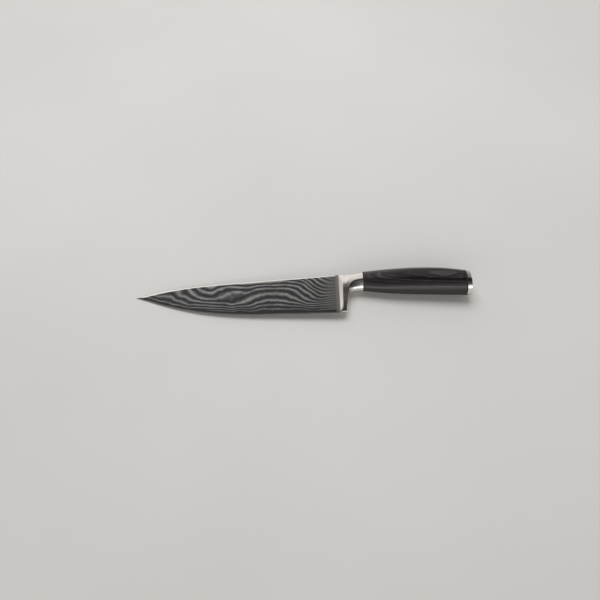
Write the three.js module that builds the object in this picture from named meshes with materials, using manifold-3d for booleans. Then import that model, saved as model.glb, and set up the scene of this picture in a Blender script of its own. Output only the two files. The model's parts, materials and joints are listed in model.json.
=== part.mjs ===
// A chef knife: three-layer laminated blade, full bolster, hidden-tang wooden grip and steel end cap.
// Lengths are in millimetres. In the knife's own frame x runs from the point to the butt, y from the
// straight part of the cutting edge to the spine, and z out of the blade's mid-plane.
// At the end the knife is laid on its side, with its point and its grip on the plane z = 0.
import * as THREE from "three";
import { mergeVertices } from "three/addons/utils/BufferGeometryUtils.js";
import Module from "manifold-3d";

const wasm = await Module();
wasm.setup();

// ---- Driving dimensions ----

// Blade
const BLADE_BACK_X = 189.6; // where the laminated sheet meets the bolster
const POINT_Y = 23; // height of the point above the straight edge
const EDGE_STRAIGHT_X = 122; // the edge is straight from here to the bolster
const SPINE_STRAIGHT_X = 105; // and the spine from here
const SPINE_STRAIGHT_Y = 39.6;
const SPINE_BACK_Y = 45.8; // height of the spine at the bolster
const SPINE_HALF_BACK = 1.05; // half thickness of the spine at the bolster
const SPINE_HALF_POINT = 0.42; // and near the point
const EDGE_BEVEL_HEIGHT = 0.9; // cutting bevel
const EDGE_BEVEL_MOST = 0.3; // its height near the point, as a share of the blade's
const EDGE_BEVEL_SHARE = 0.15; // thickness at the top of the cutting bevel, as a share of the spine's
const GRIND_POWER = 0.72; // below 1 the faces are slightly convex
const CORE_SHARE = 0.2; // share of the spine's thickness that is core steel
const WELD_GAP = 0.05; // between the layers of the sheet
const CLADDING_FEATHER = 0.05; // thickness at which the cladding runs out above the edge
const SPINE_CHAMFER = 0.25;
const POINT_START_X = 0.5; // the first section of the core
const CLADDING_START_X = 5; // and of the cladding, which is ground away at the point

// Tang
const TANG_START_X = BLADE_BACK_X - 4; // it grows out of the blade
const TANG_TOP_Y = 43;
const TANG_BOTTOM_Y = 31.4;
const TANG_TAPER = 1.2; // taken off the top and bottom of the tang at its end
const TANG_HALF = 0.6; // it is ground thinner than the blade
const TANG_END_X = 258;
const ROD_RADIUS = 2.5;
const ROD_END_X = 315.6;

// Fit of one piece in or against another
const JOINT_GAP = 0.3;
const SLOT_CLEARANCE = 0.1;
const CUT_PAST = 1; // how far a bore or slot is cut past the face where it ends

// Handle
const BOLSTER_FRONT_X = BLADE_BACK_X + JOINT_GAP;
const BOLSTER_BACK_X = 216;
const SPACER_THICKNESS = 0.6;
const GRIP_FRONT_X = BOLSTER_BACK_X + SPACER_THICKNESS + 2 * JOINT_GAP;
const GRIP_BACK_X = 312.4;
const CAP_FRONT_X = GRIP_BACK_X + SPACER_THICKNESS + 2 * JOINT_GAP;
const CAP_THICKNESS = 4.2;
const CAP_ROUNDING = 0.9;
const OVAL_SQUARENESS = 2.15; // exponent of the grip's section: 2 is an ellipse, and 10 nearly a box
const CHEEK_FLAT = 0.97; // the oval is flattened beyond this share of its half thickness
const CHEEK_BEND_Y = 34.5; // below this height the bolster's cheeks close in on the foot
const CHEEK_BEND = 3; // how softly they start to
const NARROWING_START = 0.6; // share of the way down an oval at which it starts to narrow

// Bores of the grip and the fasteners in them
const MORTISE_HEIGHT = 15;
const MORTISE_HALF = 2.6;
const MORTISE_END_X = TANG_END_X + 2;
const ROD_BORE_RADIUS = 3.6;
const NUT_BORE_RADIUS = 6.2;
const NUT_BORE_X = 303;
const WASHER_THICKNESS = 1;
const WASHER_RADIUS = 5.5;
const NUT_THICKNESS = 4;
const NUT_ACROSS_FLATS = 8;
const CAP_BOSS_RADIUS = 5;
const CAP_BOSS_LENGTH = 3.4;
const CAP_HOLE_DEPTH = 3; // how far the cap's blind hole goes into its plate
const BEDDING_GAP = 0.1; // the cured adhesive stands this far from wood and steel

// Resolution
const MERGE_DISTANCE = 1e-4;
const BISECTIONS = 40;
const ROUND_SEGMENTS = 32;
const BLADE_STATIONS = 34;
const CORE_CROWDING = 1.5; // above 1, stations crowd towards the point
const CLADDING_CROWDING = 1.4;
const FACE_STEPS = 6;
const CORE_FACE_STEPS = 3;
const ROUNDING_STEPS = 3;
const HALF_RING = 12; // steps from the top to the bottom of an oval, on each side
const STEPS_BETWEEN_KEYS = 3;
const GRIP_STATIONS = 26;
const RESTING_STEPS = 200; // places tried for where the knife touches the table

// ---- Geometry helpers ----

// A closed solid through rings of equally many points. Each ring is a flat convex loop.
function loft(rings) {
  const around = rings[0].length;
  const positions = rings.flat().flatMap((p) => [p.x, p.y, p.z]);
  const faces = [];
  for (let i = 0; i + 1 < rings.length; i++) {
    for (let j = 0; j < around; j++) {
      const a = i * around + j;
      const b = i * around + ((j + 1) % around);
      faces.push(a, b, a + around, b, b + around, a + around);
    }
  }
  const last = (rings.length - 1) * around;
  for (let j = 1; j + 1 < around; j++) {
    faces.push(0, j + 1, j, last, last + j, last + j + 1);
  }
  const geometry = new THREE.BufferGeometry();
  geometry.setAttribute("position", new THREE.Float32BufferAttribute(positions, 3));
  geometry.setIndex(faces);
  return geometry;
}

function solid(geometry) {
  const bare = geometry.clone();
  bare.deleteAttribute("normal");
  bare.deleteAttribute("uv");
  const merged = mergeVertices(bare, MERGE_DISTANCE);
  const made = new wasm.Manifold(
    new wasm.Mesh({
      numProp: 3,
      vertProperties: merged.attributes.position.array,
      triVerts: new Uint32Array(merged.index.array),
    }),
  );
  if (made.volume() > 0) return made;
  const turned = new Uint32Array(merged.index.array).reverse();
  return new wasm.Manifold(
    new wasm.Mesh({ numProp: 3, vertProperties: merged.attributes.position.array, triVerts: turned }),
  );
}

function geometryOf(made) {
  const mesh = made.getMesh();
  const geometry = new THREE.BufferGeometry();
  geometry.setAttribute("position", new THREE.BufferAttribute(new Float32Array(mesh.vertProperties), 3));
  geometry.setIndex(new THREE.BufferAttribute(mesh.triVerts, 1));
  const flat = geometry.toNonIndexed();
  flat.computeVertexNormals();
  return flat;
}

// A box from its lowest to its highest corner.
function box(low, high) {
  const size = high.map((v, i) => v - low[i]);
  const middle = high.map((v, i) => (v + low[i]) / 2);
  return solid(new THREE.BoxGeometry(...size).translate(...middle));
}

// A cylinder along x, centred on the rod's axis.
function cylinder(radius, fromX, toX, segments = ROUND_SEGMENTS) {
  const geometry = new THREE.CylinderGeometry(radius, radius, toX - fromX, segments);
  return solid(geometry.rotateZ(-Math.PI / 2).translate((fromX + toX) / 2, ROD_Y, 0));
}

// A flat outline in the xy plane given a thickness from lowZ to highZ.
function plate(points, lowZ, highZ) {
  const shape = new THREE.Shape(points.map(([x, y]) => new THREE.Vector2(x, y)));
  const options = { depth: highZ - lowZ, bevelEnabled: false };
  return solid(new THREE.ExtrudeGeometry(shape, options).translate(0, 0, lowZ));
}

const lerp = THREE.MathUtils.lerp;
const point = (x, y) => new THREE.Vector2(x, y);

// The height of a curve that rises steadily in x.
function heightAt(curve, x) {
  let low = 0;
  let high = 1;
  for (let i = 0; i < BISECTIONS; i++) {
    const middle = (low + high) / 2;
    if (curve.getPoint(middle).x < x) low = middle;
    else high = middle;
  }
  return curve.getPoint(low).y;
}

// ---- Outlines ----

const bellyCurve = new THREE.CubicBezierCurve(
  point(0, POINT_Y),
  point(33, 12.5),
  point(54, 0),
  point(EDGE_STRAIGHT_X, 0),
);
const noseCurve = new THREE.CubicBezierCurve(
  point(0, POINT_Y),
  point(24, 33),
  point(60, 37),
  point(SPINE_STRAIGHT_X, SPINE_STRAIGHT_Y),
);
const edgeY = (x) => (x < EDGE_STRAIGHT_X ? heightAt(bellyCurve, x) : 0);
const spineY = (x) =>
  x < SPINE_STRAIGHT_X
    ? heightAt(noseCurve, x)
    : THREE.MathUtils.mapLinear(x, SPINE_STRAIGHT_X, BLADE_BACK_X, SPINE_STRAIGHT_Y, SPINE_BACK_Y);
const spineHalf = (x) => lerp(SPINE_HALF_POINT, SPINE_HALF_BACK, Math.sqrt(x / BLADE_BACK_X));

const bevelHalf = (x) => EDGE_BEVEL_SHARE * spineHalf(x);
const bevelTopY = (x) => edgeY(x) + Math.min(EDGE_BEVEL_HEIGHT, EDGE_BEVEL_MOST * (spineY(x) - edgeY(x)));

// Half thickness of the ground blade at x, at a height y.
function bladeHalf(x, y) {
  const low = edgeY(x);
  const bevelTop = bevelTopY(x);
  if (y <= bevelTop) return (bevelHalf(x) * (y - low)) / (bevelTop - low);
  const share = (y - bevelTop) / (spineY(x) - bevelTop);
  return lerp(bevelHalf(x), spineHalf(x), share ** GRIND_POWER);
}

// The height at which the ground blade has this half thickness.
function heightOfHalf(x, half) {
  const share = (half - bevelHalf(x)) / (spineHalf(x) - bevelHalf(x));
  return lerp(bevelTopY(x), spineY(x), share ** (1 / GRIND_POWER));
}

// The grip's outlines and half thickness along x; the bolster and the cap meet them flush.
const gripTop = new THREE.SplineCurve(
  [[213, 46.9], [240, 49.6], [267, 50.6], [292, 49.3], [313, 45.6], [319, 44.2]].map(([x, y]) => point(x, y)),
);
const gripBottom = new THREE.SplineCurve(
  [[213, 27.6], [238, 24.2], [266, 22.5], [292, 21.4], [319, 20.3]].map(([x, y]) => point(x, y)),
);
const gripHalf = new THREE.SplineCurve(
  [[213, 8], [238, 9.6], [266, 10.6], [294, 10.9], [319, 10.5]].map(([x, y]) => point(x, y)),
);

// How much narrower it gets towards its lower edge, which makes the front of the grip an egg.
const gripNarrowing = new THREE.SplineCurve(
  [[213, 0.3], [232, 0.22], [256, 0.08], [319, 0]].map(([x, y]) => point(x, y)),
);
const narrowed = (narrowing, down) => 1 - narrowing * THREE.MathUtils.smoothstep(down, NARROWING_START, 1);

// Half of the oval, from the top round one side to the bottom, as [share of the way down, share of
// the half thickness].
function halfOval(topSquareness, bottomSquareness) {
  return Array.from({ length: HALF_RING + 1 }, (_, j) => {
    const angle = (Math.PI * j) / HALF_RING;
    const upper = 2 * j <= HALF_RING;
    const power = 2 / (upper ? topSquareness : bottomSquareness);
    const reach = Math.abs(Math.cos(angle)) ** power;
    const across = Math.abs(Math.sin(angle)) ** power;
    return [upper ? 0.5 - reach / 2 : 0.5 + reach / 2, j % HALF_RING ? across : 0];
  });
}

// A ring in the plane that holds z and the line from a top to a bottom point.
function ovalRing(top, bottom, side) {
  const at = ([down, across], sign) =>
    new THREE.Vector3(lerp(top.x, bottom.x, down), lerp(top.y, bottom.y, down), sign * across);
  const right = side.map((s) => at(s, 1));
  const left = side.slice(1, -1).reverse().map((s) => at(s, -1));
  return [...right, ...left];
}

function gripRing(x, inset = 0) {
  const half = heightAt(gripHalf, x) - inset;
  const narrowing = heightAt(gripNarrowing, x);
  const side = halfOval(OVAL_SQUARENESS, OVAL_SQUARENESS).map(([down, across]) => [
    down,
    half * Math.min(across, CHEEK_FLAT) * narrowed(narrowing, down),
  ]);
  return ovalRing(point(x, heightAt(gripTop, x) - inset), point(x, heightAt(gripBottom, x) + inset), side);
}

const stretch = (from, to, steps, power = 1) =>
  Array.from({ length: steps + 1 }, (_, i) => lerp(from, to, (i / steps) ** power));

// ---- Blade ----

const tangOutline = [
  [TANG_START_X, TANG_BOTTOM_Y],
  [TANG_END_X, TANG_BOTTOM_Y + TANG_TAPER],
  [TANG_END_X, TANG_TOP_Y - TANG_TAPER],
  [TANG_START_X, TANG_TOP_Y],
];
const ROD_Y = (TANG_TOP_Y + TANG_BOTTOM_Y) / 2;

// The hard middle sheet: flat between the claddings, ground to the edge below them.
function bladeCore() {
  const rings = stretch(POINT_START_X, BLADE_BACK_X, BLADE_STATIONS, CORE_CROWDING).map((x) => {
    const half = CORE_SHARE * spineHalf(x);
    const cross = heightOfHalf(x, half);
    const face = stretch(cross, bevelTopY(x), CORE_FACE_STEPS).map((y) => [y, bladeHalf(x, y)]);
    const side = [[spineY(x), half], ...face];
    const right = side.map(([y, z]) => new THREE.Vector3(x, y, z));
    const left = side.map(([y, z]) => new THREE.Vector3(x, y, -z)).reverse();
    return [...right, new THREE.Vector3(x, edgeY(x), 0), ...left];
  });
  const half = CORE_SHARE * spineHalf(BLADE_BACK_X);
  return solid(loft(rings)).add(plate(tangOutline, -half, half));
}

// One of the two outer sheets, on the +z side.
function bladeCladding() {
  const rings = stretch(CLADDING_START_X, BLADE_BACK_X, BLADE_STATIONS, CLADDING_CROWDING).map((x) => {
    const inner = CORE_SHARE * spineHalf(x) + WELD_GAP;
    const lowest = heightOfHalf(x, inner + CLADDING_FEATHER);
    const top = spineY(x);
    const outer = stretch(lowest, top - SPINE_CHAMFER, FACE_STEPS).map((y) => [y, bladeHalf(x, y)]);
    const chamfered = [top, bladeHalf(x, top) - SPINE_CHAMFER];
    return [[top, inner], [lowest, inner], ...outer, chamfered].map(([y, z]) => new THREE.Vector3(x, y, z));
  });
  const inner = CORE_SHARE * spineHalf(BLADE_BACK_X) + WELD_GAP;
  return solid(loft(rings)).add(plate(tangOutline, inner, TANG_HALF));
}

// ---- Bolster ----

// Sections of the bolster from the blade to the grip. Each lies on the line from a top to a bottom
// point and has a squareness at both. The first half thickness holds at the top; the cheeks close in
// evenly from CHEEK_BEND_Y down to the second one at y = 0, and the narrowing makes an egg of a
// section. The first section takes the blade's own shape.
// The heel's sections make a ramp, a steep shoulder and a body down to the foot; the collar's swing
// their lower ends up along the finger notch to the grip.
const frontKey = {
  top: [BOLSTER_FRONT_X, SPINE_BACK_Y],
  bottom: [BOLSTER_FRONT_X, 0.1],
  half: [SPINE_HALF_BACK, 0.2],
  square: [12, 8],
  narrowing: 0,
  body: 0,
};
function bodyKey(top, bottom, half, square, narrowing = 0) {
  return { top, bottom, half, square, narrowing, body: 1 };
}
const heelKeys = [
  frontKey,
  bodyKey([192.6, 45.95], [193.3, 0.4], [1.3, 0.45], [9, 8]),
  bodyKey([193.5, 46], [194, 0.5], [1.7, 0.55], [6, 8]),
  bodyKey([196.4, 46.2], [195.9, 0.8], [4.55, 1.05], [3, 8]),
  bodyKey([197.3, 46.25], [196.7, 0.85], [5.1, 1.15], [2.7, 8]),
  bodyKey([199.8, 46.35], [199.2, 0.9], [5.4, 1.2], [2.5, 8]),
];
const atGrip = (curve) => heightAt(curve, BOLSTER_BACK_X);
const collarKeys = [
  heelKeys.at(-1),
  bodyKey([201.6, 46.45], [200.4, 9], [5.6, 1.35], [2.35, 7]),
  bodyKey([203.4, 46.55], [201.7, 18], [5.8, 1.7], [2.2, 5.5], 0.05),
  bodyKey([205.6, 46.65], [203.4, 23.4], [6.15, 2.6], [2.1, 4], 0.12),
  bodyKey([208.8, 46.8], [206.8, 26.2], [6.75, 4.4], [2.1, 3], 0.22),
  bodyKey([212.4, 47], [211.4, 27], [7.45, 6.6], [2.15, 2.5], 0.28),
  bodyKey(
    [BOLSTER_BACK_X, atGrip(gripTop)],
    [BOLSTER_BACK_X, atGrip(gripBottom)],
    [atGrip(gripHalf), atGrip(gripHalf)],
    [OVAL_SQUARENESS, OVAL_SQUARENESS],
    atGrip(gripNarrowing),
  ),
];

const keyValues = (key) => [
  ...key.top,
  ...key.bottom,
  ...key.half,
  ...key.square,
  key.narrowing,
  key.body,
];

// A smooth run of values through the keys, by Catmull-Rom in each number.
function runThrough(keys) {
  const rows = keys.map(keyValues);
  const at = (i) => rows[Math.min(Math.max(i, 0), rows.length - 1)];
  const made = [];
  for (let i = 0; i + 1 < rows.length; i++) {
    for (let s = i ? 1 : 0; s <= STEPS_BETWEEN_KEYS; s++) {
      const t = s / STEPS_BETWEEN_KEYS;
      made.push(
        rows[0].map((_, n) => {
          const [p, a, b, q] = [at(i - 1)[n], at(i)[n], at(i + 1)[n], at(i + 2)[n]];
          const tangentA = (b - p) / 2;
          const tangentB = (q - a) / 2;
          return (
            (2 * t ** 3 - 3 * t ** 2 + 1) * a +
            (t ** 3 - 2 * t ** 2 + t) * tangentA +
            (-2 * t ** 3 + 3 * t ** 2) * b +
            (t ** 3 - t ** 2) * tangentB
          );
        }),
      );
    }
  }
  return made;
}

function bolsterRing(values) {
  const [topX, topY, bottomX, bottomY, topHalf, footHalf, topSquare, bottomSquare, narrowing, body] = values;
  const weight = THREE.MathUtils.clamp(body, 0, 1);
  const side = halfOval(topSquare, bottomSquare).map(([down, across]) => {
    const y = lerp(topY, bottomY, down);
    const below = CHEEK_BEND * Math.log1p(Math.exp((CHEEK_BEND_Y - y) / CHEEK_BEND));
    const cheek = lerp(topHalf, footHalf, below / CHEEK_BEND_Y) * narrowed(narrowing, down);
    const own = cheek * Math.min(across, CHEEK_FLAT);
    const blade = bladeHalf(BLADE_BACK_X, lerp(SPINE_BACK_Y, 0, down)) * across;
    return [down, lerp(blade, own, weight)];
  });
  return ovalRing(point(topX, topY), point(bottomX, bottomY), side);
}

function bolster() {
  const rows = [...runThrough(heelKeys), ...runThrough(collarKeys).slice(1)];
  const slot = box(
    [BOLSTER_FRONT_X - CUT_PAST, TANG_BOTTOM_Y - SLOT_CLEARANCE, -TANG_HALF - SLOT_CLEARANCE],
    [BOLSTER_BACK_X + CUT_PAST, TANG_TOP_Y + SLOT_CLEARANCE, TANG_HALF + SLOT_CLEARANCE],
  );
  return solid(loft(rows.map(bolsterRing))).subtract(slot);
}

// ---- Grip and what it holds ----

const mortise = (fromX, toX, inset = 0) =>
  box(
    [fromX, ROD_Y - MORTISE_HEIGHT / 2 + inset, -MORTISE_HALF + inset],
    [toX, ROD_Y + MORTISE_HEIGHT / 2 - inset, MORTISE_HALF - inset],
  );

function grip() {
  const outside = loft(stretch(GRIP_FRONT_X, GRIP_BACK_X, GRIP_STATIONS).map((x) => gripRing(x)));
  return solid(outside)
    .subtract(mortise(GRIP_FRONT_X - CUT_PAST, MORTISE_END_X))
    .subtract(cylinder(ROD_BORE_RADIUS, MORTISE_END_X - CUT_PAST, GRIP_BACK_X + CUT_PAST))
    .subtract(cylinder(NUT_BORE_RADIUS, NUT_BORE_X, GRIP_BACK_X + CUT_PAST));
}

// The cured adhesive between the tang and the wood.
function tangBedding() {
  const tangSpace = box(
    [GRIP_FRONT_X - CUT_PAST, TANG_BOTTOM_Y - BEDDING_GAP, -TANG_HALF - BEDDING_GAP],
    [TANG_END_X + BEDDING_GAP, TANG_TOP_Y + BEDDING_GAP, TANG_HALF + BEDDING_GAP],
  );
  return mortise(GRIP_FRONT_X + JOINT_GAP, MORTISE_END_X - BEDDING_GAP, BEDDING_GAP)
    .add(cylinder(ROD_BORE_RADIUS - BEDDING_GAP, MORTISE_END_X - CUT_PAST, NUT_BORE_X - JOINT_GAP))
    .subtract(tangSpace)
    .subtract(cylinder(ROD_RADIUS + BEDDING_GAP, TANG_END_X, NUT_BORE_X + CUT_PAST));
}

const tangRod = () => cylinder(ROD_RADIUS, TANG_END_X + JOINT_GAP, ROD_END_X);

const washerX = NUT_BORE_X + JOINT_GAP;
const nutX = washerX + WASHER_THICKNESS + JOINT_GAP;
const rodHole = (fromX, toX) => cylinder(ROD_RADIUS + JOINT_GAP, fromX, toX);

const tangWasher = () =>
  cylinder(WASHER_RADIUS, washerX, washerX + WASHER_THICKNESS).subtract(rodHole(washerX - CUT_PAST, nutX));

const tangNut = () =>
  cylinder(NUT_ACROSS_FLATS / Math.sqrt(3), nutX, nutX + NUT_THICKNESS, 6).subtract(
    rodHole(nutX - CUT_PAST, nutX + NUT_THICKNESS + CUT_PAST),
  );

// A thin fibre spacer that follows the grip's outline, with a hole cut in it.
function spacer(frontX, hole) {
  return solid(loft([gripRing(frontX), gripRing(frontX + SPACER_THICKNESS)])).subtract(hole);
}

const frontSpacer = () => {
  const fromX = BOLSTER_BACK_X + JOINT_GAP;
  const hole = box(
    [fromX - CUT_PAST, TANG_BOTTOM_Y - SLOT_CLEARANCE, -TANG_HALF - SLOT_CLEARANCE],
    [fromX + SPACER_THICKNESS + CUT_PAST, TANG_TOP_Y + SLOT_CLEARANCE, TANG_HALF + SLOT_CLEARANCE],
  );
  return spacer(fromX, hole);
};

const rearSpacer = () => {
  const fromX = GRIP_BACK_X + JOINT_GAP;
  const hole = cylinder(NUT_BORE_RADIUS, fromX - CUT_PAST, fromX + SPACER_THICKNESS + CUT_PAST);
  return spacer(fromX, hole);
};

// The end cap: a plate with a rounded back edge and a boss that screws onto the rod.
function endCap() {
  const backX = CAP_FRONT_X + CAP_THICKNESS;
  const rings = [gripRing(CAP_FRONT_X), gripRing(backX - CAP_ROUNDING)];
  for (let step = 1; step <= ROUNDING_STEPS; step++) {
    const angle = (Math.PI / 2) * (step / ROUNDING_STEPS);
    const x = backX - CAP_ROUNDING * (1 - Math.sin(angle));
    rings.push(gripRing(x, CAP_ROUNDING * (1 - Math.cos(angle))));
  }
  return solid(loft(rings))
    .add(cylinder(CAP_BOSS_RADIUS, CAP_FRONT_X - CAP_BOSS_LENGTH, CAP_FRONT_X + CAP_ROUNDING))
    .subtract(rodHole(CAP_FRONT_X - CAP_BOSS_LENGTH - CUT_PAST, CAP_FRONT_X + CAP_HOLE_DEPTH));
}

// ---- Materials ----

const material = (color, roughness, metalness) =>
  new THREE.MeshStandardMaterial({ color, roughness, metalness });
const coreSteel = material(0x9a9c9e, 0.3, 1);
const patternedSteel = material(0x6d6f72, 0.42, 1);
const polishedSteel = material(0xc4c0bb, 0.2, 1);
const plainSteel = material(0x8b8d8f, 0.45, 1);
const fibre = material(0x111111, 0.8, 0);
const laminatedWood = material(0x232122, 0.35, 0);
const adhesive = material(0xb09a6c, 0.5, 0);

// ---- Assembly ----

const knife = new THREE.Group();

function place(name, made, finish) {
  const mesh = new THREE.Mesh(geometryOf(made), finish);
  mesh.name = name;
  knife.add(mesh);
}

const cladding = bladeCladding();
place("blade_core", bladeCore(), coreSteel);
place("blade_cladding_upper", cladding, patternedSteel);
place("blade_cladding_lower", cladding.mirror([0, 0, 1]), patternedSteel);
place("bolster", bolster(), polishedSteel);
place("front_spacer", frontSpacer(), fibre);
place("grip", grip(), laminatedWood);
place("tang_bedding", tangBedding(), adhesive);
place("tang_rod", tangRod(), plainSteel);
place("tang_washer", tangWasher(), plainSteel);
place("tang_nut", tangNut(), plainSteel);
place("rear_spacer", rearSpacer(), fibre);
place("end_cap", endCap(), polishedSteel);

// On a table the front of the blade and the swell of the grip carry the knife. The plane under both
// has, of the steepest slopes from each place on the blade to the grip, the least one.
const bladeUnder = stretch(CLADDING_START_X, BLADE_BACK_X, RESTING_STEPS).map((x) =>
  point(x, bladeHalf(x, spineY(x) - SPINE_CHAMFER)),
);
const gripUnder = stretch(GRIP_FRONT_X, GRIP_BACK_X, RESTING_STEPS).map((x) =>
  point(x, heightAt(gripHalf, x) * CHEEK_FLAT),
);
const slopes = bladeUnder.map((a) => Math.max(...gripUnder.map((b) => (b.y - a.y) / (b.x - a.x))));
knife.rotation.y = -Math.atan(Math.min(...slopes));

const lying = new THREE.Group();
lying.add(knife);
const extent = new THREE.Box3().setFromObject(lying, true);
const middle = extent.getCenter(new THREE.Vector3());
knife.position.set(-middle.x, -middle.y, -extent.min.z);

export default lying;
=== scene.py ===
"""A chef knife on a pale table: patterned blade, polished bolster, laminated-wood grip and end cap.

Shapes are worked out in the knife's own frame, in millimetres: x from the point to the butt, y from the
cutting edge to the spine, z out of the blade's mid-plane. Each finished mesh is then laid down in metres
as the CAD model lies.
"""

import json
import math

import bpy
import numpy as np
from mathutils import Matrix, Vector


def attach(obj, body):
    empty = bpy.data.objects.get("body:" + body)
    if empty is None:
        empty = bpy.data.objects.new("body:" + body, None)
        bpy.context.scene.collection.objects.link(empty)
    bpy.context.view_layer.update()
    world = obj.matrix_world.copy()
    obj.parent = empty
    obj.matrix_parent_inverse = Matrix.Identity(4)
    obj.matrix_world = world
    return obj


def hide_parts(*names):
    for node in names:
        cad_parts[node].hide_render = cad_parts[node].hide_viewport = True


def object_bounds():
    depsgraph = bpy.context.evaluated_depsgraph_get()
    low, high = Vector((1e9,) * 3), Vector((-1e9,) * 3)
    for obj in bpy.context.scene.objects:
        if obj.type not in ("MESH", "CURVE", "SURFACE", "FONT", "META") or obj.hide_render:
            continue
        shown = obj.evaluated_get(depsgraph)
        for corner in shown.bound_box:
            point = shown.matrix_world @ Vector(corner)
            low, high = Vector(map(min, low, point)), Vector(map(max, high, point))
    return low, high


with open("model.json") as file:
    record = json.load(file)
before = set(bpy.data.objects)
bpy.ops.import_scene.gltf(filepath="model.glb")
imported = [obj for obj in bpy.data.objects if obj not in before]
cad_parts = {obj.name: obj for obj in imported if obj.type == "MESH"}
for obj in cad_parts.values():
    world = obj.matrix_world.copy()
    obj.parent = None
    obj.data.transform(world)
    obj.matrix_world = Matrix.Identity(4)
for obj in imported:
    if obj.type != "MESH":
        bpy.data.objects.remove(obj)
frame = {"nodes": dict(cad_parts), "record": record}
cad_low, cad_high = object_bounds()

MM = 0.001

# ---- Sizes of the CAD model, in millimetres ----

BLADE_BACK_X = 189.6
POINT_Y = 23
EDGE_STRAIGHT_X = 122
SPINE_STRAIGHT_X = 105
SPINE_STRAIGHT_Y = 39.6
SPINE_BACK_Y = 45.8
SPINE_HALF_BACK = 1.05
SPINE_HALF_POINT = 0.42
EDGE_BEVEL_HEIGHT = 0.9
EDGE_BEVEL_MOST = 0.3  # its height near the point, as a share of the blade's
EDGE_BEVEL_SHARE = 0.15
GRIND_POWER = 0.72
CORE_SHARE = 0.2
TANG_START_X = BLADE_BACK_X - 4
TANG_TOP_Y = 43
TANG_BOTTOM_Y = 31.4
TANG_HALF = 0.6
TANG_END_X = 258
TANG_TAPER = 0.2  # share of its height lost at its end
SLOT_CLEARANCE = 0.1
BOLSTER_BACK_X = 216
SPACER_THICKNESS = 0.6
JOINT_GAP = 0.3
GRIP_FRONT_X = BOLSTER_BACK_X + SPACER_THICKNESS + 2 * JOINT_GAP
GRIP_BACK_X = 312.4
CAP_FRONT_X = GRIP_BACK_X + SPACER_THICKNESS + 2 * JOINT_GAP
CAP_THICKNESS = 4.2
CAP_ROUNDING = 0.9
OVAL_SQUARENESS = 2.15  # 2 is an ellipse, and 10 nearly a box
CHEEK_FLAT = 0.97
CHEEK_BEND_Y = 34.5  # below this the bolster's cheeks close in on the foot
CHEEK_BEND = 3  # how softly they start to
NARROWING_START = 0.6  # share of the way down an oval at which it starts to narrow
BUTT_MOUNT = (317.8, 32.4, 0)  # the mount butt_face in the knife's frame
ROD_Y = (TANG_TOP_Y + TANG_BOTTOM_Y) / 2
MORTISE_HEIGHT = 15
MORTISE_HALF = 2.6
MORTISE_END_X = TANG_END_X + 2
ROD_BORE_RADIUS = 3.6
NUT_BORE_RADIUS = 6.2
NUT_BORE_X = 303
CUT_PAST = 1  # how far a bore or slot is cut past the face where it ends

# ---- Finer shapes that only the visual has ----

HAIR_GAP = 0.02  # between pieces that look joined
CORE_START_X = 0.05
CLADDING_START_X = 1.2
CLADDING_FEATHER = 0.03
WELD_GAP = 0.02
FACET_BACK = 1.5  # width of the bright facet along the spine, at the bolster
FACET_POINT = 2.4  # and near the point
FACET_CHANGE_X = (5, 60)  # where its width goes from the one to the other
FACET_SHARE = 0.4  # at most, of the blade's height
FACET_SHEET_SHARE = 0.8  # and of the sheet's
FACET_SLOPE = 0.2
FACET_STEPS = (0.12, 0.4, 0.7, 0.88)  # shares of the facet's width at which its face has a row of points
FACET_EDGE = (0.96, 1.15)  # where the facet turns over into the spine: share of its width, share of its drop
SPINE_DROP = 1.4  # and the drop at the spine itself
DROP_SHARE = 0.6  # at most, of the sheet's thickness
CHEEK_SOFTNESS = 0.02  # how softly the grip's oval becomes flat
WOOD_EASE = 0.12  # the eased edges of the wood's ends
CAP_EASE = 0.15  # and of the cap's front
BLADE_STATIONS = 260
POINT_CROWDING = 1.3  # above 1, stations crowd towards the point
FACE_STEPS = 40
CORE_FACE_STEPS = 10
ROUNDING_STEPS = 8
SIDES = 64  # of a round bore
RING_STEPS = 48  # from the top to the bottom of an oval, on each side
GRIP_STATIONS = 90
KEY_STEPS = 10

# ---- The knife's pose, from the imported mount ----

butt = next(m for m in frame["record"]["mounts"] if m["name"] == "butt_face")
lean = math.atan2(butt["axis"][2], butt["axis"][0])
POSE = (
    Matrix.Translation(butt["pos_m"])
    @ Matrix.Rotation(-lean, 4, "Y")
    @ Matrix.Translation(-MM * Vector(BUTT_MOUNT))
)

# ---- Outlines ----


def lerp(a, b, t):
    return a + (b - a) * t


def bezier(points, count=600):
    t = np.linspace(0, 1, count)[:, None]
    a, b, c, d = np.array(points, float)
    return (1 - t) ** 3 * a + 3 * (1 - t) ** 2 * t * b + 3 * (1 - t) * t**2 * c + t**3 * d


def spline(points, steps=60):
    """A Catmull-Rom curve through the points, as rows."""
    rows = np.array(points, float)
    made = []
    for i in range(len(rows) - 1):
        before, a, b, after = (rows[min(max(i + k, 0), len(rows) - 1)] for k in (-1, 0, 1, 2))
        leave, arrive = (b - before) / 2, (after - a) / 2
        for t in np.arange(steps) / steps:
            made.append(
                (2 * t**3 - 3 * t**2 + 1) * a
                + (t**3 - 2 * t**2 + t) * leave
                + (3 * t**2 - 2 * t**3) * b
                + (t**3 - t**2) * arrive
            )
    return np.array([*made, rows[-1]])


def along(curve, x):
    return np.interp(x, curve[:, 0], curve[:, 1])


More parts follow.
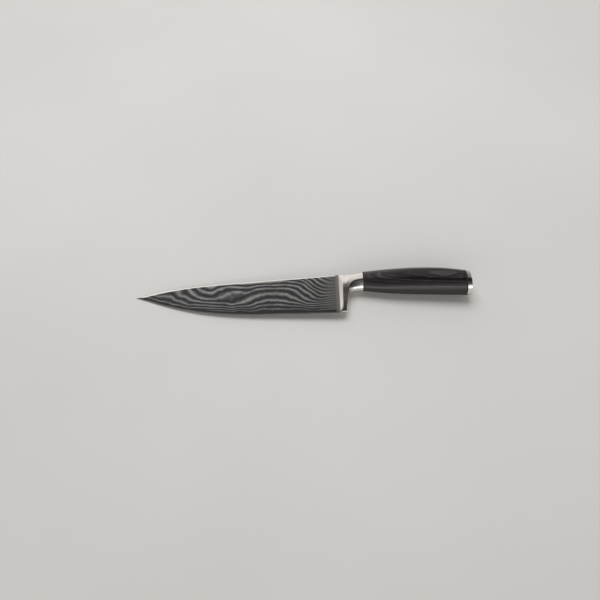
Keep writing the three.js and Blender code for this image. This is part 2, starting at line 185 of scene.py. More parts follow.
BELLY = bezier([(0, POINT_Y), (33, 12.5), (54, 0), (EDGE_STRAIGHT_X, 0)])
NOSE = bezier([(0, POINT_Y), (24, 33), (60, 37), (SPINE_STRAIGHT_X, SPINE_STRAIGHT_Y)])
GRIP_TOP = spline([(213, 46.9), (240, 49.6), (267, 50.6), (292, 49.3), (313, 45.6), (319, 44.2)])
GRIP_BOTTOM = spline([(213, 27.6), (238, 24.2), (266, 22.5), (292, 21.4), (319, 20.3)])
GRIP_HALF = spline([(213, 8), (238, 9.6), (266, 10.6), (294, 10.9), (319, 10.5)])
GRIP_NARROWING = spline([(213, 0.3), (232, 0.22), (256, 0.08), (319, 0)])  # towards its lower edge


def edge_y(x):
    return along(BELLY, x)


def spine_y(x):
    share = (x - SPINE_STRAIGHT_X) / (BLADE_BACK_X - SPINE_STRAIGHT_X)
    return along(NOSE, x) if x < SPINE_STRAIGHT_X else lerp(SPINE_STRAIGHT_Y, SPINE_BACK_Y, share)


def spine_half(x):
    return lerp(SPINE_HALF_POINT, SPINE_HALF_BACK, math.sqrt(x / BLADE_BACK_X))


def bevel_top_y(x):
    return edge_y(x) + min(EDGE_BEVEL_HEIGHT, EDGE_BEVEL_MOST * (spine_y(x) - edge_y(x)))


def blade_half(x, y):
    """Half thickness of the ground blade."""
    low, bevel_top, bevel_half = edge_y(x), bevel_top_y(x), EDGE_BEVEL_SHARE * spine_half(x)
    if y <= bevel_top:
        return bevel_half * max(y - low, 0) / (bevel_top - low)
    share = (y - bevel_top) / (spine_y(x) - bevel_top)
    return lerp(bevel_half, spine_half(x), share**GRIND_POWER)


def height_of_half(x, half):
    bevel_half = EDGE_BEVEL_SHARE * spine_half(x)
    share = (half - bevel_half) / (spine_half(x) - bevel_half)
    return lerp(bevel_top_y(x), spine_y(x), share ** (1 / GRIND_POWER))


def smooth(x, low, high):
    t = np.clip((x - low) / (high - low), 0, 1)
    return t * t * (3 - 2 * t)


def half_oval(top_square, bottom_square):
    """From the top round one side to the bottom: [share of the way down, share of the half thickness]."""
    angles = np.pi * np.arange(RING_STEPS + 1) / RING_STEPS
    upper = angles <= np.pi / 2
    power = np.where(upper, 2 / top_square, 2 / bottom_square)
    reach = np.abs(np.cos(angles)) ** power / 2
    across = np.abs(np.sin(angles)) ** power
    across[[0, -1]] = 0
    return np.stack([np.where(upper, 0.5 - reach, 0.5 + reach), across], 1)


def oval_ring(top, bottom, side):
    """A ring in the plane that holds z and the line from a top to a bottom point."""
    down, across = side[:, :1], side[:, 1]
    line = lerp(np.array(top, float), np.array(bottom, float), down)
    right = np.column_stack([line, across])
    left = np.column_stack([line, -across])[-2:0:-1]
    return np.concatenate([right, left])


def grip_ring(x, inset=0.0):
    side = half_oval(OVAL_SQUARENESS, OVAL_SQUARENESS)
    flat = CHEEK_FLAT - CHEEK_SOFTNESS * np.log1p(np.exp((CHEEK_FLAT - side[:, 1]) / CHEEK_SOFTNESS))
    narrowed = 1 - along(GRIP_NARROWING, x) * smooth(side[:, 0], NARROWING_START, 1)
    side[:, 1] = np.maximum(flat, 0) * narrowed * (along(GRIP_HALF, x) - inset)
    return oval_ring((x, along(GRIP_TOP, x) - inset), (x, along(GRIP_BOTTOM, x) + inset), side)


# ---- Meshes and pieces ----


def loft(rings):
    """A closed mesh through rings of equally many points: points and faces."""
    around = len(rings[0])
    faces = []
    for start in range(0, (len(rings) - 1) * around, around):
        for j in range(around):
            beside = (j + 1) % around
            faces.append((start + j, start + beside, start + around + beside, start + around + j))
    last = (len(rings) - 1) * around
    faces.append(tuple(range(around - 1, -1, -1)))
    faces.append(tuple(range(last, last + around)))
    return np.concatenate(rings), faces


def joined(*parts):
    """Several closed meshes as one."""
    points, faces = [], []
    for some, corners in parts:
        start = sum(len(p) for p in points)
        points.append(np.array(some, float))
        faces += [tuple(start + c for c in face) for face in corners]
    return np.concatenate(points), faces


def mesh_of(name, points, faces, sharp=40):
    mesh = bpy.data.meshes.new(name)
    mesh.from_pydata((np.array(points) * MM).tolist(), [], faces)
    mesh.validate()
    mesh.update()
    volume = sum(
        mesh.vertices[p.vertices[0]].co.dot(
            mesh.vertices[p.vertices[i]].co.cross(mesh.vertices[p.vertices[i + 1]].co)
        )
        for p in mesh.polygons
        for i in range(1, len(p.vertices) - 1)
    )
    if volume < 0:
        mesh.flip_normals()
    mesh.shade_smooth()
    mesh.set_sharp_from_angle(angle=math.radians(sharp))
    return mesh


def new_object(name, mesh):
    made = bpy.data.objects.new(name, mesh)
    bpy.context.scene.collection.objects.link(made)
    return made


def cut(target, *cutters, sharp=40):
    """Takes closed meshes, as (points, faces), out of target."""
    for i, (points, faces) in enumerate(cutters):
        cutter = new_object(f"cutter_{i}", mesh_of(f"cutter_{i}", points, faces))
        modifier = target.modifiers.new("cut", "BOOLEAN")
        modifier.object = cutter
        modifier.solver = "EXACT"
        evaluated = target.evaluated_get(bpy.context.evaluated_depsgraph_get())
        mesh = bpy.data.meshes.new_from_object(evaluated)
        target.modifiers.clear()
        target.data = mesh
        bpy.data.objects.remove(cutter)
    target.data.shade_smooth()
    target.data.set_sharp_from_angle(angle=math.radians(sharp))


def finish_piece(piece, slot, node, *materials):
    """Lays a piece down with the knife, dresses it, and hides the CAD node it takes the place of."""
    piece.data.transform(POSE)
    piece.data.materials.clear()
    for material in materials:
        piece.data.materials.append(material)
    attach(piece, "root")
    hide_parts(node)


def block(low, high):
    """A box as (points, faces)."""
    (x0, y0, z0), (x1, y1, z1) = low, high
    points = [(x, y, z) for x in (x0, x1) for y in (y0, y1) for z in (z0, z1)]
    faces = [(0, 1, 3, 2), (4, 6, 7, 5), (0, 4, 5, 1), (2, 3, 7, 6), (0, 2, 6, 4), (1, 5, 7, 3)]
    return points, faces


def rod(radius, from_x, to_x):
    """A cylinder along x on the tang rod's axis, as (points, faces)."""
    turn = 2 * np.pi * np.arange(SIDES) / SIDES
    ring = np.stack([0 * turn, ROD_Y + radius * np.cos(turn), radius * np.sin(turn)], 1)
    return loft([ring + [from_x, 0, 0], ring + [to_x, 0, 0]])


# ---- Material nodes ----

HEEL_FADE_X = (172, 190)  # where the pattern fades into an even tone
HEEL_FADE = 0.82
HEEL_TONE = 0.62
SATIN_END_X = (192.6, 194.2)  # where the bolster's satin strip turns into polish


class Shading:
    """A Principled material and short calls that add nodes to it."""

    def __init__(self, name, **settings):
        self.material = bpy.data.materials.new(name)
        self.material.use_nodes = True
        self.tree = self.material.node_tree
        self.shader = self.tree.nodes["Principled BSDF"]
        for key, value in settings.items():
            self.shader.inputs[key.replace("_", " ")].default_value = value

    @classmethod
    def on(cls, tree, shader):
        """The same calls on another node tree."""
        made = cls.__new__(cls)
        made.material, made.tree, made.shader = None, tree, tree.nodes[shader]
        return made

    def put(self, kind, inputs=None, output=0, **settings):
        node = self.tree.nodes.new("ShaderNode" + kind)
        for key, value in settings.items():
            setattr(node, key, value)
        for key, value in (inputs or {}).items():
            self.feed(node.inputs[key], value)
        return node.outputs[output]

    def feed(self, socket, value):
        if isinstance(value, bpy.types.NodeSocket):
            self.tree.links.new(value, socket)
        else:
            socket.default_value = value

    def math(self, operation, *values):
        return self.put("Math", dict(enumerate(values)), operation=operation)

    def place(self, scale=(1, 1, 1)):
        """The knife's own frame in millimetres, stretched by scale."""
        inputs = {
            "Vector": self.put("TexCoord", output="Object"),
            "Location": POSE.translation,
            "Rotation": POSE.to_euler(),
            "Scale": (MM, MM, MM),
        }
        knife = self.put("Mapping", inputs, vector_type="TEXTURE")
        return self.put("VectorMath", {0: knife, 1: scale}, operation="MULTIPLY")

    def noise(self, vector, scale, detail=2.0, roughness=0.5):
        inputs = {"Vector": vector, "Scale": scale, "Detail": detail, "Roughness": roughness}
        return self.put("TexNoise", inputs)

    def ramp(self, factor, stops, smooth_steps=False):
        socket = self.put("ValToRGB", {"Fac": factor})
        ramp = socket.node.color_ramp
        ramp.interpolation = "EASE" if smooth_steps else "LINEAR"
        while len(ramp.elements) < len(stops):
            ramp.elements.new(0.5)
        for element, (position, color) in zip(ramp.elements, stops):
            element.position = position
            element.color = (*color, 1)
        return socket

    def mix(self, factor, a, b):
        """Between two numbers, which the node takes at sockets 2 and 3."""
        return self.put("Mix", {"Factor": factor, 2: a, 3: b})

    def mix_colors(self, factor, a, b, **settings):
        """Between two colours, at sockets 6 and 7."""
        return self.put("Mix", {"Factor": factor, 6: a, 7: b}, output=2, data_type="RGBA", **settings)

    def shaded(self, color, shade):
        return self.mix_colors(1.0, color, shade, blend_type="MULTIPLY")

    def between(self, value, from_low, from_high, to_low, to_high, kind="LINEAR"):
        ends = {"From Min": from_low, "From Max": from_high, "To Min": to_low, "To Max": to_high}
        return self.put("MapRange", {"Value": value, **ends}, interpolation_type=kind)

    def bump(self, height, distance_mm, strength=1.0, normal=None):
        inputs = {"Height": height, "Distance": distance_mm * MM, "Strength": strength}
        if normal is not None:
            inputs["Normal"] = normal
        return self.put("Bump", inputs)

    def wear(self, **sockets):
        for key, value in sockets.items():
            self.feed(self.shader.inputs[key.replace("_", " ")], value)
        return self.material


def grey_stops(pairs):
    return [(position, (value,) * 3) for position, value in pairs]


def damascus():
    """Etched layers: bands along the mesh's own layer number, finer lines between them, painted shade towards
    the cutting edge, light grinding.
    """
    s = Shading("damascus_steel", Metallic=1.0)
    place = s.place()
    layer = s.put("Attribute", output="Fac", attribute_name="layer")
    wobble = s.between(s.noise(place, 0.16, 2.0), 0, 1, -0.22, 0.22)
    ripple = s.between(s.noise(place, 0.55, 2.0), 0, 1, -0.07, 0.07)
    phase = s.math("ADD", layer, s.math("ADD", wobble, ripple))
    wave = s.math("COSINE", s.math("MULTIPLY", phase, 2 * math.pi))
    stops = grey_stops([(0, 0.0), (0.25, 0.1), (0.56, 0.5), (0.84, 0.92), (1, 1.0)])
    band = s.ramp(s.between(wave, -1, 1, 0, 1), stops)
    fine_wave = s.math("COSINE", s.math("MULTIPLY", phase, 6 * math.pi))
    fine = s.between(fine_wave, -1, 1, -0.1, 0.1)
    patch = s.between(s.noise(place, 0.09, 1.0), 0.3, 0.7, 0.72, 1.1)
    low = s.between(layer, 0, 3.4, 0.62, 1)  # painted shade: the pattern is darkened and its layers muted towards the cutting edge, where the steeper grind mirrors darker surroundings
    light = s.math("MULTIPLY", s.math("ADD", band, fine), s.math("MULTIPLY", patch, low))
    x = s.put("SeparateXYZ", {0: place}, output="X")
    fade = s.between(x, *HEEL_FADE_X, 0, HEEL_FADE, "SMOOTHSTEP")
    light = s.mix(fade, light, HEEL_TONE)
    color = s.ramp(
        light, [(0, (0.074, 0.078, 0.087)), (0.5, (0.18, 0.184, 0.19)), (1, (0.44, 0.436, 0.425))]
    )
    scratches = s.noise(s.place((6.0, 0.35, 1.0)), 1.0, 3.0, 0.6)
    shade = s.between(scratches, 0.3, 0.7, 0.93, 1.07)
    color = s.shaded(color, shade)
    rough = s.math("ADD", s.between(light, 0, 1, 0.42, 0.30), s.between(scratches, 0, 1, -0.04, 0.04))
    etched = s.bump(light, 0.012, 0.6)
    ground = s.bump(scratches, 0.002, 0.35, etched)
    return s.wear(Base_Color=color, Roughness=rough, Normal=ground)


def core_steel():
    """The bare core above the cutting bevel: dark, finely cloudy, with faint lines along the edge."""
    s = Shading("core_steel", Metallic=1.0)
    place = s.place()
    streak = s.noise(s.place((0.25, 3.0, 1.0)), 1.0, 3.0)
    cloud = s.noise(place, 0.4, 3.0)
    color = s.ramp(
        s.math("ADD", s.math("MULTIPLY", streak, 0.6), s.math("MULTIPLY", cloud, 0.4)),
        [(0.3, (0.05, 0.051, 0.053)), (0.7, (0.115, 0.116, 0.118))],
    )
    rough = s.between(cloud, 0.3, 0.7, 0.28, 0.36)
    return s.wear(Base_Color=color, Roughness=rough, Normal=s.bump(streak, 0.003, 0.4))


def bevel_steel():
    """The sharpened bevel, with stone marks across the edge."""
    s = Shading("bevel_steel", Metallic=1.0)
    marks = s.noise(s.place((7.0, 1.6, 1.0)), 1.0, 3.0)
    color = s.ramp(marks, [(0.3, (0.5, 0.5, 0.49)), (0.7, (0.62, 0.62, 0.61))])
    rough = s.between(marks, 0.3, 0.7, 0.26, 0.36)
    return s.wear(Base_Color=color, Roughness=rough, Normal=s.bump(marks, 0.001, 0.4))


def spine_steel():
    """The facet along the spine, drawn along its length."""
    s = Shading("spine_steel", Metallic=1.0)
    drawn = s.noise(s.place((0.3, 7.0, 7.0)), 1.0, 3.0)
    color = s.ramp(drawn, [(0.3, (0.8, 0.785, 0.765)), (0.7, (0.92, 0.905, 0.885))])
    rough = s.between(drawn, 0.3, 0.7, 0.26, 0.36)
    return s.wear(Base_Color=color, Roughness=rough, Normal=s.bump(drawn, 0.002, 0.4))


def polished_steel():
    """Polished steel with faint buffing lines and a satin strip where the bolster meets the blade."""
    s = Shading("polished_steel", Metallic=1.0)
    place = s.place()
    x = s.put("SeparateXYZ", {0: place}, output="X")
    satin = s.between(x, *SATIN_END_X, 1, 0, "SMOOTHSTEP")
    buffing = s.noise(s.place((0.5, 5.0, 5.0)), 1.0, 3.0)
    smudge = s.noise(place, 0.12, 3.0)
    polish = s.between(smudge, 0.35, 0.7, 0.14, 0.22)
    rough = s.mix(satin, polish, 0.42)
    color = s.mix_colors(satin, (0.76, 0.745, 0.72, 1), (0.31, 0.29, 0.27, 1))
    return s.wear(Base_Color=color, Roughness=rough, Normal=s.bump(buffing, 0.0015, 0.3))


def laminated_wood():
    """Resin-filled veneers that lie flat with the blade, so the grip's swell cuts them into long arches."""
    s = Shading("laminated_wood", Specular_IOR_Level=0.4, Coat_Weight=0.35, Coat_Roughness=0.28)
    place = s.place()
    bend = s.between(s.noise(s.place((0.03, 0.09, 0.2)), 1.0, 2.0), 0, 1, -0.7, 0.7)
    split = s.put("SeparateXYZ", {0: place})
    x, y, z = (split.node.outputs[k] for k in "XYZ")
    depth = s.math("ADD", s.math("ABSOLUTE", z), bend)
    through = s.put("CombineXYZ", {"X": s.math("MULTIPLY", depth, 2.6), "Y": 3.7})
    veneer = s.noise(through, 1.0, 1.0, 0.5)
    strands = s.noise(s.place((0.05, 1.6, 1.6)), 1.0, 4.0, 0.6)
    pores = s.noise(s.place((0.22, 5.0, 5.0)), 1.0, 2.0, 0.6)
    tone = s.math("ADD", s.math("MULTIPLY", veneer, 0.82), s.math("MULTIPLY", strands, 0.18))
    color = s.ramp(
        tone,
        [
            (0.4, (0.0016, 0.0015, 0.0016)),
            (0.5, (0.004, 0.0036, 0.0038)),
            (0.57, (0.017, 0.0155, 0.0162)),
            (0.65, (0.062, 0.057, 0.059)),
        ],
    )
    dark_pores = s.between(pores, 0.36, 0.48, 0.55, 1.0)
    color = s.shaded(color, dark_pores)
    rough = s.between(strands, 0.3, 0.7, 0.3, 0.42)
    grain = s.bump(strands, 0.02, 0.25)
    return s.wear(Base_Color=color, Roughness=rough, Normal=s.bump(pores, 0.008, 0.3, grain))


def fibre():
    """Black vulcanised fibre."""
    s = Shading("fibre", Roughness=0.7)
    fuzz = s.noise(s.place((1, 4.0, 4.0)), 1.0, 4.0)
    color = s.ramp(fuzz, [(0.3, (0.008, 0.008, 0.008)), (0.7, (0.028, 0.027, 0.026))])
    return s.wear(Base_Color=color, Normal=s.bump(fuzz, 0.02, 0.4))


def machined_steel():
    """Turned steel of the hidden hardware."""
    s = Shading("machined_steel", Metallic=1.0)
    rings = s.noise(s.place((8.0, 0.2, 0.2)), 1.0, 2.0)
    color = s.ramp(rings, [(0.3, (0.4, 0.4, 0.41)), (0.7, (0.6, 0.6, 0.6))])
    rough = s.between(rings, 0.3, 0.7, 0.35, 0.5)
    return s.wear(Base_Color=color, Roughness=rough, Normal=s.bump(rings, 0.01, 0.4))


def cured_adhesive():
    """Honey-coloured epoxy, slightly cloudy."""
    s = Shading("cured_adhesive", Roughness=0.4)
    cloud = s.noise(s.place(), 0.5, 4.0)
    color = s.ramp(cloud, [(0.3, (0.3, 0.2, 0.08)), (0.7, (0.5, 0.38, 0.18))])
    return s.wear(Base_Color=color, Normal=s.bump(cloud, 0.1, 0.4))


# ---- Blade ----

# The pattern's light lines, each through a few places on the blade's side. A line's number is how
# many layers the grinding has cut through, so it climbs from the edge to the spine.
LAYER_LINES = {
    0: [
        (2, 22.3), (12, 17.5), (26, 12.3), (45, 6.2), (64, 2.6), (90, 1.2), (120, 0.6), (150, 0.6),
        (188, 0.6),
    ],
    1: [
        (8, 21.4), (20, 16.8), (40, 10.4), (60, 7), (80, 5.6), (100, 5.6), (120, 6.1), (150, 5.6),
        (188, 5.2),
    ],
    2: [
        (14, 22.4), (24, 18.6), (36, 14.6), (50, 10.6), (66, 9.6), (80, 8.2), (100, 7.6), (120, 10.2),
        (140, 10.4), (160, 7.8), (188, 8),
    ],
    3: [
        (26, 24.8), (34, 22.4), (42.4, 18), (50.4, 13.6), (63, 12.7), (78, 11), (96, 9.5), (108, 10.3),
        (118.5, 14.4), (133, 16), (146, 13.6), (161, 9.6), (188, 10.4),
    ],
    4: [
        (39.6, 31), (41, 25), (47, 23.4), (52.5, 20), (60, 17), (75.5, 14.8), (92.3, 12.6), (102.8, 15),
        (109, 19.4), (118.5, 23.3), (134, 24.4), (144.7, 22.2), (153, 17), (161, 12.4), (174, 11.6),
        (188, 12.6),
    ],
    5: [
        (48.6, 33), (52.6, 27.5), (58, 23.5), (65, 20.4), (73.4, 19.4), (81.8, 21.7), (90, 27.2),
        (98.6, 28), (104.9, 26.2), (113.3, 29.6), (123.7, 31.2), (144.7, 30.1), (155, 23.5),
        (163, 16.3), (172, 13.6), (188, 15.4),
    ],
    6: [
        (58, 34.8), (62, 30), (68, 27.6), (76, 30), (88, 34.2), (97, 33), (108, 32.6), (120, 34.9),
        (146, 34.4), (158, 29), (166, 22), (175, 16.6), (188, 18.2),
    ],
    7: [
        (70, 33.6), (104, 37.3), (124, 38.2), (148, 38.6), (161, 33.6), (170, 24.6), (178, 20.6),
        (188, 21.4),
    ],
    8: [(155, 41), (165, 33.4), (173, 26.8), (180, 24.2), (188, 24.8)],
    9: [(162, 41.5), (170, 33.5), (178, 28.4), (188, 28.4)],
    10: [(169, 41), (176, 34.5), (188, 32)],
    11: [(175, 42), (182, 37.5), (188, 36)],
    12: [(181, 43.5), (188, 40.5)],
}


class Layers:
    """A smooth layer number over the blade's side that takes each line's number along it."""

    STIFFNESS = 0.6  # above 0, it may miss a line by a little to stay smooth

    def __init__(self, lines):
        self.places = np.array([p for line in lines.values() for p in line], float)
        values = np.array([level for level, line in lines.items() for _ in line], float)
        count = len(values)
        system = np.zeros((count + 3, count + 3))
        system[:count, :count] = self.kernel(self.places) + self.STIFFNESS * np.eye(count)
        plane = np.column_stack([np.ones(count), self.places])
        system[:count, count:] = plane
        system[count:, :count] = plane.T
        self.weights = np.linalg.solve(system, np.append(values, [0, 0, 0]))

    def kernel(self, points):
        square = ((points[:, None] - self.places[None]) ** 2).sum(-1)
        return np.where(square > 0, square * np.log(np.maximum(square, 1e-12)) / 2, 0)

    def at(self, points):
        plane = np.column_stack([np.ones(len(points)), points])
        return self.kernel(points) @ self.weights[:-3] + plane @ self.weights[-3:]


def facet_width(x):
    """Width of the bright facet along the spine, at most a share of the blade's height near the point."""
    wanted = lerp(FACET_POINT, FACET_BACK, smooth(x, *FACET_CHANGE_X))
    return min(wanted, FACET_SHARE * (spine_y(x) - edge_y(x)))


def tang(low_z, high_z):
    """The sheet's part of the hidden tang, as (points, faces)."""
    points, faces = block((TANG_START_X, TANG_BOTTOM_Y, low_z), (TANG_END_X, TANG_TOP_Y, high_z))
    tapered = [(x, lerp(y, ROD_Y, TANG_TAPER if x == TANG_END_X else 0), z) for x, y, z in points]
    return tapered, faces


def cladding(side):
    """One patterned outer sheet; side is 1 for the one that faces up and -1 for the other."""
    rings = []
    for t in np.linspace(0, 1, BLADE_STATIONS + 1):
        x = lerp(CLADDING_START_X, BLADE_BACK_X + JOINT_GAP - HAIR_GAP, t**POINT_CROWDING)
        inner = CORE_SHARE * spine_half(x) + WELD_GAP
        top = spine_y(x)
        lowest = height_of_half(x, inner + CLADDING_FEATHER)
        facet = min(facet_width(x), FACET_SHEET_SHARE * (top - lowest))
        drop = min(facet * FACET_SLOPE, DROP_SHARE * (spine_half(x) - inner))
        face = [(y, blade_half(x, y)) for y in lerp(lowest, top - facet, np.linspace(0, 1, FACE_STEPS))]
        start = face[-1][1]
        face += [(top - facet * (1 - share), start - drop * share) for share in FACET_STEPS]
        edge_share, edge_drop = FACET_EDGE
        face += [(top - (1 - edge_share) * facet, start - edge_drop * drop), (top, start - SPINE_DROP * drop)]
        rings.append([(x, y, side * z) for y, z in [(top, inner), (lowest, inner), *face]])
    inner = CORE_SHARE * SPINE_HALF_BACK + WELD_GAP
    sheet = loft(np.array(rings))
    return joined(sheet, tang(*sorted((side * inner, side * TANG_HALF))))


def core():
    """The middle sheet, ground to the cutting bevel."""
    rings = []
    for t in np.linspace(0, 1, BLADE_STATIONS + 1):
        x = lerp(CORE_START_X, BLADE_BACK_X + JOINT_GAP - HAIR_GAP, t**POINT_CROWDING)
        half = CORE_SHARE * spine_half(x)
        heights = lerp(height_of_half(x, half), bevel_top_y(x), np.linspace(0, 1, CORE_FACE_STEPS))
        side = [(spine_y(x) - HAIR_GAP, half), *((y, blade_half(x, y)) for y in heights)]
        ring = [(x, y, z) for y, z in side] + [(x, edge_y(x), 0)] + [(x, y, -z) for y, z in reversed(side)]
        rings.append(ring)
    half = CORE_SHARE * SPINE_HALF_BACK
    return joined(loft(np.array(rings)), tang(-half, half))


def make_blade():
    layers = Layers(LAYER_LINES)
    steel, spine = damascus(), spine_steel()
    for side, name, node in ((1, "upper", "blade_cladding_upper"), (-1, "lower", "blade_cladding_lower")):
        mesh = mesh_of(f"cladding_{name}", *cladding(side), sharp=50)
        places = np.array([v.co for v in mesh.vertices]) / MM
        number = mesh.attributes.new("layer", "FLOAT", "POINT")
        number.data.foreach_set("value", layers.at(places[:, :2]).astype(np.float32))
        centres = [face.center / MM for face in mesh.polygons]
        on_facet = [x < BLADE_BACK_X and y > spine_y(x) - facet_width(x) for x, y, _ in centres]
        finish_piece(new_object(f"patterned_cladding_{name}", mesh), "pattern_steel", node, steel, spine)
        mesh.polygons.foreach_set("material_index", np.array(on_facet, np.int32))

    mesh = mesh_of("core", *core(), sharp=8)
    below = [y < bevel_top_y(x) for x, y, _ in (face.center / MM for face in mesh.polygons)]
    finish_piece(new_object("hard_core", mesh), "core_steel", "blade_core", core_steel(), bevel_steel())
    mesh.polygons.foreach_set("material_index", np.array(below, np.int32))


# ---- Bolster ----

BOLSTER_FRONT_X = BLADE_BACK_X + JOINT_GAP

# Each row: top x, y; bottom x, y; half thickness at the top, and what it comes to at y = 0; squareness
# at the top and bottom; narrowing towards the bottom; 0 for the blade's section and 1 for the bolster's.
HEEL_KEYS = [
    (BOLSTER_FRONT_X, SPINE_BACK_Y, BOLSTER_FRONT_X, 0.1, SPINE_HALF_BACK, 0.2, 12, 8, 0, 0),
    (192.6, 45.95, 193.3, 0.4, 1.3, 0.45, 9, 8, 0, 1),
    (193.5, 46, 194, 0.5, 1.7, 0.55, 6, 8, 0, 1),
    (196.4, 46.2, 195.9, 0.8, 4.55, 1.05, 3, 8, 0, 1),
    (197.3, 46.25, 196.7, 0.85, 5.1, 1.15, 2.7, 8, 0, 1),
    (199.8, 46.35, 199.2, 0.9, 5.4, 1.2, 2.5, 8, 0, 1),
]
GRIP_END = (
    BOLSTER_BACK_X,
    float(along(GRIP_TOP, BOLSTER_BACK_X)),
    BOLSTER_BACK_X,
    float(along(GRIP_BOTTOM, BOLSTER_BACK_X)),
    *[float(along(GRIP_HALF, BOLSTER_BACK_X))] * 2,
    *[OVAL_SQUARENESS] * 2,
    float(along(GRIP_NARROWING, BOLSTER_BACK_X)),
    1,
)
COLLAR_KEYS = [
    HEEL_KEYS[-1],
    (201.6, 46.45, 200.4, 9, 5.6, 1.35, 2.35, 7, 0, 1),
    (203.4, 46.55, 201.7, 18, 5.8, 1.7, 2.2, 5.5, 0.05, 1),
    (205.6, 46.65, 203.4, 23.4, 6.15, 2.6, 2.1, 4, 0.12, 1),
    (208.8, 46.8, 206.8, 26.2, 6.75, 4.4, 2.1, 3, 0.22, 1),
    (212.4, 47, 211.4, 27, 7.45, 6.6, 2.15, 2.5, 0.28, 1),
    GRIP_END,
]


def bolster_ring(row):
    top, bottom = row[0:2], row[2:4]
    side = half_oval(row[6], row[7])
    down, across = side[:, 0], side[:, 1].copy()
    below = CHEEK_BEND * np.log1p(np.exp((CHEEK_BEND_Y - lerp(top[1], bottom[1], down)) / CHEEK_BEND))
    cheek = lerp(row[4], row[5], below / CHEEK_BEND_Y) * (1 - row[8] * smooth(down, NARROWING_START, 1))
    blade = np.array([blade_half(BLADE_BACK_X, y) for y in lerp(SPINE_BACK_Y, 0, down)]) * across
    side[:, 1] = lerp(blade, cheek * np.minimum(across, CHEEK_FLAT), np.clip(row[9], 0, 1))
    return oval_ring(top, bottom, side)


def tang_slot(from_x, to_x):
    return block(
        (from_x - CUT_PAST, TANG_BOTTOM_Y - SLOT_CLEARANCE, -TANG_HALF - SLOT_CLEARANCE),
        (to_x + CUT_PAST, TANG_TOP_Y + SLOT_CLEARANCE, TANG_HALF + SLOT_CLEARANCE),
    )


def make_bolster(polished):
    rows = [*spline(HEEL_KEYS, KEY_STEPS), *spline(COLLAR_KEYS, KEY_STEPS)[1:]]
    mesh = mesh_of("bolster", *loft([bolster_ring(row) for row in rows]), sharp=35)
    piece = new_object("polished_bolster", mesh)
    cut(piece, tang_slot(BOLSTER_FRONT_X, BOLSTER_BACK_X), sharp=35)
    finish_piece(piece, "polished_steel", "bolster", polished)


# ---- Grip, spacers and end cap ----


def make_grip():
    front, back = GRIP_FRONT_X - JOINT_GAP + HAIR_GAP, GRIP_BACK_X + JOINT_GAP - HAIR_GAP
    between_ends = np.linspace(front, back, GRIP_STATIONS)[1:-1]
    rings = [grip_ring(x) for x in (front + WOOD_EASE, *between_ends, back - WOOD_EASE)]
    rings = [grip_ring(front, WOOD_EASE), *rings, grip_ring(back, WOOD_EASE)]
    piece = new_object("wood_grip", mesh_of("grip", *loft(rings), sharp=60))
    mortise = block(
        (front - CUT_PAST, ROD_Y - MORTISE_HEIGHT / 2, -MORTISE_HALF),
        (MORTISE_END_X, ROD_Y + MORTISE_HEIGHT / 2, MORTISE_HALF),
    )
    bore = rod(ROD_BORE_RADIUS, MORTISE_END_X - CUT_PAST, back + CUT_PAST)
    nut_bore = rod(NUT_BORE_RADIUS, NUT_BORE_X, back + CUT_PAST)
    cut(piece, mortise, bore, nut_bore, sharp=50)
    finish_piece(piece, "laminated_wood", "grip", laminated_wood())


def make_spacer(name, node, front_x, hole, material):
    into_gap = JOINT_GAP - HAIR_GAP
    rings = [grip_ring(front_x - into_gap), grip_ring(front_x + SPACER_THICKNESS + into_gap)]
    piece = new_object(name, mesh_of(name, *loft(rings)))
    cut(piece, hole)
    finish_piece(piece, "fibre", node, material)


def make_end_cap(polished):
    front = CAP_FRONT_X - JOINT_GAP + HAIR_GAP
    back = CAP_FRONT_X + CAP_THICKNESS
    rings = [grip_ring(front, CAP_EASE), grip_ring(front + CAP_EASE)]
    rings += [grip_ring(x) for x in np.linspace(front + 2 * CAP_EASE, back - CAP_ROUNDING, 6)]
    for angle in np.linspace(0, np.pi / 2, ROUNDING_STEPS + 1)[1:]:
        inset = CAP_ROUNDING * (1 - math.cos(angle))
        rings.append(grip_ring(back - CAP_ROUNDING * (1 - math.sin(angle)), inset))
    piece = new_object("polished_end_cap", mesh_of("end_cap", *loft(rings), sharp=35))
    finish_piece(piece, "polished_steel", "end_cap", polished)


def dress_hardware():
    """The hidden pieces keep their CAD shapes and get their own materials."""
    steel, glue = machined_steel(), cured_adhesive()
    for node in ("tang_rod", "tang_washer", "tang_nut", "tang_bedding"):
        materials = frame["nodes"][node].data.materials
        materials.clear()
        materials.append(glue if node == "tang_bedding" else steel)


# ---- Stage ----

# Strength of the studio's glow: 0 is the horizon behind the knife, 0.5 straight up, 1 the horizon in front.
GLOW_BEHIND = [(0, 0.95), (0.23, 1.0), (0.28, 0.86), (0.305, 0.36), (0.325, 0.05), (0.4, 0.03), (0.5, 0.065)]
GLOW_IN_FRONT = [(0.5, 0.0), (0.7, 0.07), (0.77, 0.4), (0.815, 1.75), (0.865, 2.7), (0.92, 1.8), (0.975, 0.8)]
REACH = [(0.01, 1.0), (0.14, 0.15), (0.22, 0.15), (0.27, 0.55)]  # of the glow behind, from the middle to +x
SIDE_GLOW = 0.5
SIDE_GLOW_FROM = (0.6, 0.95)  # share of the way to either side at which it starts and is full
GLOW_COLOR = (1, 0.965, 0.925, 1)
BACKDROP = 0.62
KEY_POWER = 26
FLOOR_HALF = 40.0
FLOOR_DROP = 0.00002  # below the knife, so that the two don't share a plane
CAMERA_TARGET = Vector((-0.0033, -0.0038, 0))
CAMERA_ELEVATION = math.radians(50)
CAMERA_DISTANCE = 0.612
CAMERA_LENS = 38.52
SENSOR_WIDTH = 36


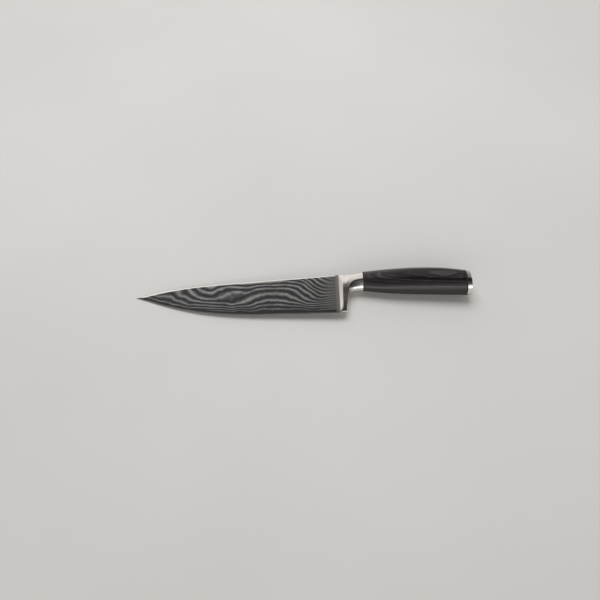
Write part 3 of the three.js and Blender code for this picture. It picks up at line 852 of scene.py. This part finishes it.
def make_floor():
    s = Shading("table", Roughness=0.7)
    tone = s.noise(s.put("TexCoord", output="Object"), 3.0, 4.0)
    s.wear(Base_Color=s.ramp(tone, [(0.3, (0.58, 0.572, 0.562)), (0.7, (0.62, 0.612, 0.602))]))
    mesh = bpy.data.meshes.new("table")
    corners = [(-1, -1, 0), (1, -1, 0), (1, 1, 0), (-1, 1, 0)]
    mesh.from_pydata([FLOOR_HALF * Vector(corner) for corner in corners], [], [(0, 1, 2, 3)])
    mesh.materials.append(s.material)
    floor = new_object("table", mesh)
    floor.location.z = cad_low.z - FLOOR_DROP


def softbox(name, azimuth, elevation, distance, width, height, power):
    """A rectangular light that faces the knife. Azimuth 0 is behind it, beyond the spine."""
    data = bpy.data.lights.new(name, "AREA")
    data.shape = "RECTANGLE"
    data.size, data.size_y = width, height
    data.energy = power
    light = new_object(name, data)
    a, e = math.radians(azimuth), math.radians(elevation)
    towards = Vector((math.sin(a) * math.cos(e), math.cos(a) * math.cos(e), math.sin(e)))
    light.location = towards * distance
    light.rotation_euler = towards.to_track_quat("Z", "Y").to_euler()
    return light


def make_world():
    """Soft glow from behind and in front of the knife, and dark overhead, for polished steel to mirror."""
    world = bpy.data.worlds.new("studio")
    world.use_nodes = True
    s = Shading.on(world.node_tree, "Background")
    split = s.put("SeparateXYZ", {0: s.put("TexCoord", output="Generated")})
    x, y, z = (split.node.outputs[k] for k in "XYZ")
    turn = s.math("DIVIDE", s.math("ARCTAN2", z, y), math.pi)  # 0 at the horizon behind, 1 in front
    behind = s.ramp(turn, grey_stops(GLOW_BEHIND))
    in_front = s.ramp(turn, grey_stops(GLOW_IN_FRONT))
    reach = s.ramp(x, grey_stops(REACH), smooth_steps=True)
    glow = s.math("ADD", s.math("MULTIPLY", behind, reach), in_front)
    side = s.between(s.math("ABSOLUTE", x), *SIDE_GLOW_FROM, 0, 1, "SMOOTHSTEP")
    seen = s.put("LightPath")  # what is seen past the table is plain
    strength = s.mix(seen, s.mix(side, glow, SIDE_GLOW), BACKDROP)
    s.wear(Color=GLOW_COLOR, Strength=strength)
    bpy.context.scene.world = world


def make_light():
    key = softbox(
        "key_softbox", azimuth=-8, elevation=68, distance=1.8, width=1.5, height=1.2, power=KEY_POWER
    )
    key.visible_glossy = False  # lights the table without a hard-edged patch in the polished steel


def make_camera():
    data = bpy.data.cameras.new("camera")
    data.sensor_width = SENSOR_WIDTH
    data.lens = CAMERA_LENS
    camera = new_object("camera", data)
    towards = Vector((0, -math.cos(CAMERA_ELEVATION), math.sin(CAMERA_ELEVATION)))
    camera.location = CAMERA_TARGET + CAMERA_DISTANCE * towards
    camera.rotation_euler = (math.pi / 2 - CAMERA_ELEVATION, 0, 0)
    bpy.context.scene.camera = camera


make_camera()
make_world()
make_light()
make_floor()
make_blade()
steel = polished_steel()
make_bolster(steel)
black = fibre()
front_hole = tang_slot(BOLSTER_BACK_X - CUT_PAST, GRIP_FRONT_X + CUT_PAST)
make_spacer("fibre_front_spacer", "front_spacer", BOLSTER_BACK_X + JOINT_GAP, front_hole, black)
rear_hole = rod(NUT_BORE_RADIUS, GRIP_BACK_X - 2 * CUT_PAST, CAP_FRONT_X + 2 * CUT_PAST)
make_spacer("fibre_rear_spacer", "rear_spacer", GRIP_BACK_X + JOINT_GAP, rear_hole, black)
make_grip()
make_end_cap(steel)
dress_hardware()
bpy.context.scene.view_settings.view_transform = "Standard"
